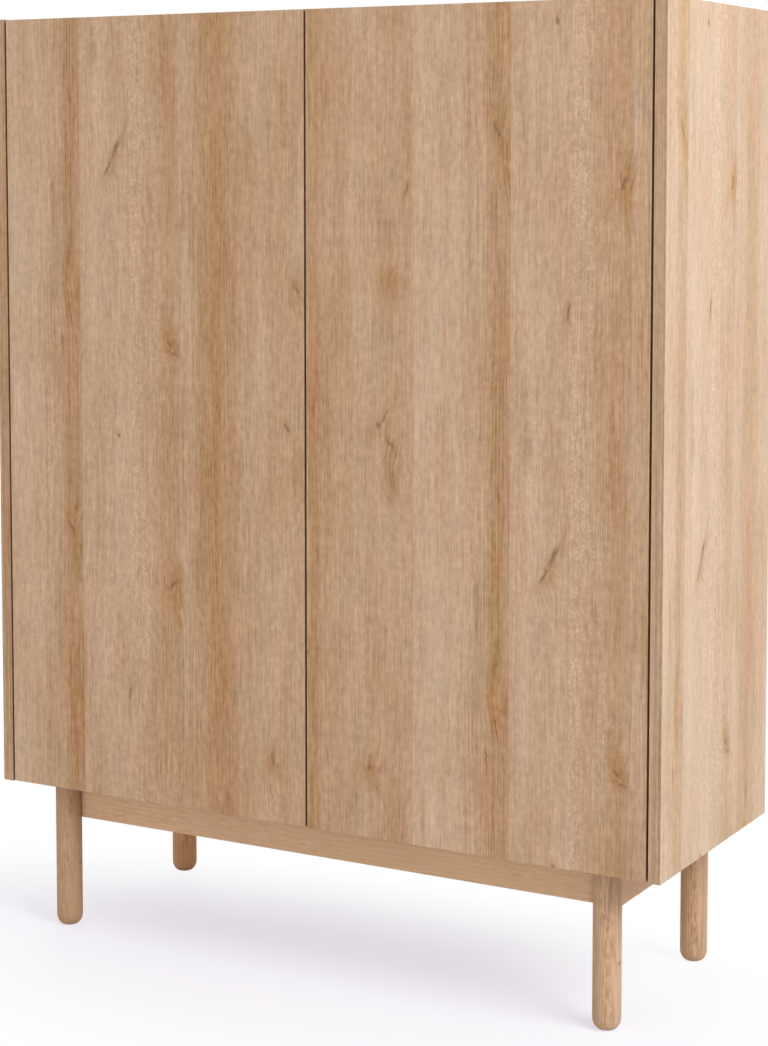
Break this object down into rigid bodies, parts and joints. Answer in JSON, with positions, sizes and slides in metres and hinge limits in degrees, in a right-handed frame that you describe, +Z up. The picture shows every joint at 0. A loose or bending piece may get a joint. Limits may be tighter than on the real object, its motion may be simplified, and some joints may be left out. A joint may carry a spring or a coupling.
{
  "type": "credenza",
  "caption": "Tall, shallow credenza in pale oak: plain doors set flush between full-height sides, on round legs joined by a rail frame.",
  "frame": {"origin": "on the floor under the middle of the body", "axes": "+X to the right seen from the front, +Y from the doors to the back, +Z up"},
  "size_m": [1.1, 0.4, 1.4],
  "materials": {
    "door_veneer": "satin oak veneer, upright staves",
    "body_veneer": "satin oak veneer, upright grain",
    "back_board": "matt printed fibreboard",
    "joint_strip": "matt",
    "solid_oak": "matt lacquered solid oak",
    "block_wood": "sawn",
    "screw_steel": "zinc plated",
    "hinge_steel": "nickel plated",
    "strike_steel": "nickel plated",
    "latch_grey": "matt",
    "latch_white": "matt"
  },
  "bodies": {
    "cabinet": {"back_joint_strip": "joint_strip", "bottom_panel": "body_veneer", "centre_partition": "body_veneer", "front_left_base_screw": "screw_steel", "front_left_corner_block": "block_wood", "front_left_leg": "solid_oak", "front_rail": "solid_oak", "front_right_base_screw": "screw_steel", "front_right_corner_block": "block_wood", "front_right_leg": "solid_oak", "left_back_panel": "back_board", "left_latch_housing": "latch_grey", "left_lower_hinge_arm": "hinge_steel", "left_lower_hinge_plate": "hinge_steel", "left_lower_shelf": "body_veneer", "left_middle_hinge_arm": "hinge_steel", "left_middle_hinge_plate": "hinge_steel", "left_rail": "solid_oak", "left_side_panel": "body_veneer", "left_upper_hinge_arm": "hinge_steel", "left_upper_hinge_plate": "hinge_steel", "left_upper_shelf": "body_veneer", "rear_left_base_screw": "screw_steel", "rear_left_corner_block": "block_wood", "rear_left_leg": "solid_oak", "rear_rail": "solid_oak", "rear_right_base_screw": "screw_steel", "rear_right_corner_block": "block_wood", "rear_right_leg": "solid_oak", "right_back_panel": "back_board", "right_latch_housing": "latch_grey", "right_lower_hinge_arm": "hinge_steel", "right_lower_hinge_plate": "hinge_steel", "right_lower_shelf": "body_veneer", "right_middle_hinge_arm": "hinge_steel", "right_middle_hinge_plate": "hinge_steel", "right_rail": "solid_oak", "right_side_panel": "body_veneer", "right_upper_hinge_arm": "hinge_steel", "right_upper_hinge_plate": "hinge_steel", "right_upper_shelf": "body_veneer", "top_panel": "body_veneer"},
    "left_hinge_links": {"left_lower_hinge_link": "hinge_steel", "left_middle_hinge_link": "hinge_steel", "left_upper_hinge_link": "hinge_steel"},
    "left_door": {"left_door_panel": "door_veneer", "left_lower_hinge_cup": "hinge_steel", "left_middle_hinge_cup": "hinge_steel", "left_strike_plate": "strike_steel", "left_upper_hinge_cup": "hinge_steel"},
    "left_plunger": {"left_latch_plunger": "latch_white"},
    "right_hinge_links": {"right_lower_hinge_link": "hinge_steel", "right_middle_hinge_link": "hinge_steel", "right_upper_hinge_link": "hinge_steel"},
    "right_door": {"right_door_panel": "door_veneer", "right_lower_hinge_cup": "hinge_steel", "right_middle_hinge_cup": "hinge_steel", "right_strike_plate": "strike_steel", "right_upper_hinge_cup": "hinge_steel"},
    "right_plunger": {"right_latch_plunger": "latch_white"}
  },
  "joints": [
    {"name": "left_door_swing", "type": "hinge", "parent": "left_hinge_links", "child": "left_door", "pos_m": [-0.52, -0.1905, 0.326], "axis": [0, 0, -1], "range_deg": [0, 125]},
    {"name": "left_link_swing", "type": "hinge", "parent": "cabinet", "child": "left_hinge_links", "pos_m": [-0.502, -0.172, 0.326], "axis": [0, 0, 1], "range_deg": [0, 25]},
    {"name": "left_plunger_slide", "type": "slide", "parent": "cabinet", "child": "left_plunger", "axis": [0, -1, 0], "range_m": [0, 0.012]},
    {"name": "right_door_swing", "type": "hinge", "parent": "right_hinge_links", "child": "right_door", "pos_m": [0.52, -0.1905, 0.326], "axis": [0, 0, 1], "range_deg": [0, 125]},
    {"name": "right_link_swing", "type": "hinge", "parent": "cabinet", "child": "right_hinge_links", "pos_m": [0.502, -0.172, 0.326], "axis": [0, 0, -1], "range_deg": [0, 25]},
    {"name": "right_plunger_slide", "type": "slide", "parent": "cabinet", "child": "right_plunger", "axis": [0, -1, 0], "range_m": [0, 0.012]}
  ],
  "couplings": [
    {"joint": "left_link_swing", "follows": "left_door_swing", "ratio": 0.2},
    {"joint": "left_plunger_slide", "follows": "left_door_swing", "m_per_rad": 0.0055},
    {"joint": "right_link_swing", "follows": "right_door_swing", "ratio": 0.2},
    {"joint": "right_plunger_slide", "follows": "right_door_swing", "m_per_rad": 0.0055}
  ]
}
